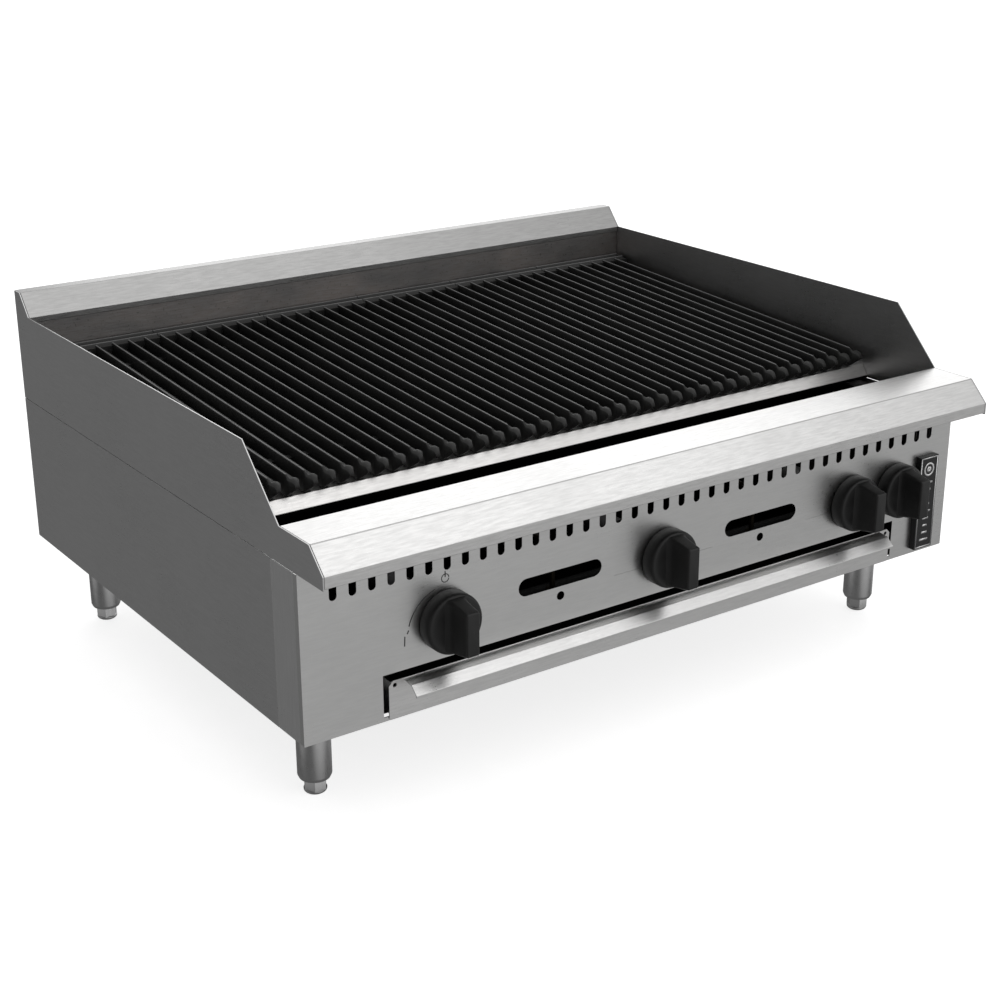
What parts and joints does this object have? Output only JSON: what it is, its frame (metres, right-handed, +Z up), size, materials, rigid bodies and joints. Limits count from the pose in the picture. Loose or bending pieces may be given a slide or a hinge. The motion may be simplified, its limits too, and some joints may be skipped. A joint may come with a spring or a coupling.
{
  "type": "countertop gas charbroiler",
  "caption": "Countertop gas charbroiler: stainless casing with splash guards, sloped ribbed cast-iron grates, front shelf, vented control panel with knobs, pull-out drip tray and short legs.",
  "frame": {"origin": "centre of the footprint on the counter, under the feet, at the middle of the bounding box", "axes": "+X to the cook's right, +Y towards the back, +Z up"},
  "size_m": [0.9144, 0.775, 0.4245],
  "materials": {
    "stainless": "brushed stainless sheet",
    "heat_dark_steel": "heat-darkened brushed stainless",
    "cast_iron": "seasoned black cast iron",
    "knob_black": "satin black moulding",
    "brass": "machined brass",
    "pipe_steel": "plain black pipe",
    "leg_steel": "plated die-cast leg",
    "badge_black": "black enamelled plate"
  },
  "bodies": {
    "casing": {"back_panel": "stainless", "backsplash_cap": "stainless", "badge_plate": "badge_black", "base_rail_left": "stainless", "base_rail_right": "stainless", "burner_1": "cast_iron", "burner_2": "cast_iron", "burner_3": "cast_iron", "burner_rail": "heat_dark_steel", "corner_post_left": "stainless", "corner_post_right": "stainless", "firebox_front": "stainless", "firebox_side_left": "heat_dark_steel", "firebox_side_right": "heat_dark_steel", "front_panel": "stainless", "front_shelf": "stainless", "gas_manifold": "pipe_steel", "gas_valve_1": "brass", "gas_valve_2": "brass", "gas_valve_3": "brass", "gas_valve_4": "brass", "inner_back_wall": "heat_dark_steel", "leg_front_left": "leg_steel", "leg_front_right": "leg_steel", "leg_rear_left": "leg_steel", "leg_rear_right": "leg_steel", "lower_side_left": "stainless", "lower_side_right": "stainless", "pilot_left": "brass", "pilot_right": "brass", "radiant_1": "heat_dark_steel", "radiant_2": "heat_dark_steel", "radiant_3": "heat_dark_steel", "radiant_rail_front": "heat_dark_steel", "radiant_rail_rear": "heat_dark_steel", "side_panel_left": "stainless", "side_panel_right": "stainless", "supply_pipe": "pipe_steel"},
    "knob_1_turning": {"knob_1": "knob_black", "valve_stem_1": "brass"},
    "knob_2_turning": {"knob_2": "knob_black", "valve_stem_2": "brass"},
    "knob_3_turning": {"knob_3": "knob_black", "valve_stem_3": "brass"},
    "knob_4_turning": {"knob_4": "knob_black", "valve_stem_4": "brass"},
    "shutter_1": {"air_shutter_1": "pipe_steel"},
    "shutter_2": {"air_shutter_2": "pipe_steel"},
    "shutter_3": {"air_shutter_3": "pipe_steel"},
    "grate_1_lifting": {"grate_1": "cast_iron"},
    "grate_2_lifting": {"grate_2": "cast_iron"},
    "grate_3_lifting": {"grate_3": "cast_iron"},
    "grate_4_lifting": {"grate_4": "cast_iron"},
    "grate_5_lifting": {"grate_5": "cast_iron"},
    "grate_6_lifting": {"grate_6": "cast_iron"},
    "foot_front_left_adjusting": {"foot_front_left": "leg_steel"},
    "foot_front_right_adjusting": {"foot_front_right": "leg_steel"},
    "foot_rear_left_adjusting": {"foot_rear_left": "leg_steel"},
    "foot_rear_right_adjusting": {"foot_rear_right": "leg_steel"},
    "tray": {"drip_tray": "stainless"}
  },
  "joints": [
    {"name": "knob_1_turn", "type": "hinge", "parent": "casing", "child": "knob_1_turning", "pos_m": [-0.289, -0.3367, 0.198], "axis": [0, -1, 0], "range_deg": [0, 90]},
    {"name": "knob_2_turn", "type": "hinge", "parent": "casing", "child": "knob_2_turning", "pos_m": [0, -0.3367, 0.198], "axis": [0, -1, 0], "range_deg": [0, 90]},
    {"name": "knob_3_turn", "type": "hinge", "parent": "casing", "child": "knob_3_turning", "pos_m": [0.289, -0.3367, 0.198], "axis": [0, -1, 0], "range_deg": [0, 90]},
    {"name": "knob_4_turn", "type": "hinge", "parent": "casing", "child": "knob_4_turning", "pos_m": [0.364, -0.3367, 0.198], "axis": [0, -1, 0], "range_deg": [0, 90]},
    {"name": "shutter_1_turn", "type": "hinge", "parent": "casing", "child": "shutter_1", "pos_m": [-0.289, -0.2595, 0.198], "axis": [0, -1, 0], "range_deg": [0, 60]},
    {"name": "shutter_2_turn", "type": "hinge", "parent": "casing", "child": "shutter_2", "pos_m": [0, -0.2595, 0.198], "axis": [0, -1, 0], "range_deg": [0, 60]},
    {"name": "shutter_3_turn", "type": "hinge", "parent": "casing", "child": "shutter_3", "pos_m": [0.289, -0.2595, 0.198], "axis": [0, -1, 0], "range_deg": [0, 60]},
    {"name": "grate_1_lift", "type": "slide", "parent": "casing", "child": "grate_1_lifting", "axis": [0, 0, 1], "range_m": [0, 0.1]},
    {"name": "grate_2_lift", "type": "slide", "parent": "casing", "child": "grate_2_lifting", "axis": [0, 0, 1], "range_m": [0, 0.1]},
    {"name": "grate_3_lift", "type": "slide", "parent": "casing", "child": "grate_3_lifting", "axis": [0, 0, 1], "range_m": [0, 0.1]},
    {"name": "grate_4_lift", "type": "slide", "parent": "casing", "child": "grate_4_lifting", "axis": [0, 0, 1], "range_m": [0, 0.1]},
    {"name": "grate_5_lift", "type": "slide", "parent": "casing", "child": "grate_5_lifting", "axis": [0, 0, 1], "range_m": [0, 0.1]},
    {"name": "grate_6_lift", "type": "slide", "parent": "casing", "child": "grate_6_lifting", "axis": [0, 0, 1], "range_m": [0, 0.1]},
    {"name": "foot_front_left_adjust", "type": "slide", "parent": "casing", "child": "foot_front_left_adjusting", "axis": [0, 0, -1], "range_m": [0, 0.025]},
    {"name": "foot_front_right_adjust", "type": "slide", "parent": "casing", "child": "foot_front_right_adjusting", "axis": [0, 0, -1], "range_m": [0, 0.025]},
    {"name": "foot_rear_left_adjust", "type": "slide", "parent": "casing", "child": "foot_rear_left_adjusting", "axis": [0, 0, -1], "range_m": [0, 0.025]},
    {"name": "foot_rear_right_adjust", "type": "slide", "parent": "casing", "child": "foot_rear_right_adjusting", "axis": [0, 0, -1], "range_m": [0, 0.025]},
    {"name": "tray_pull", "type": "slide", "parent": "casing", "child": "tray", "axis": [0, -1, 0], "range_m": [0, 0.55]}
  ]
}
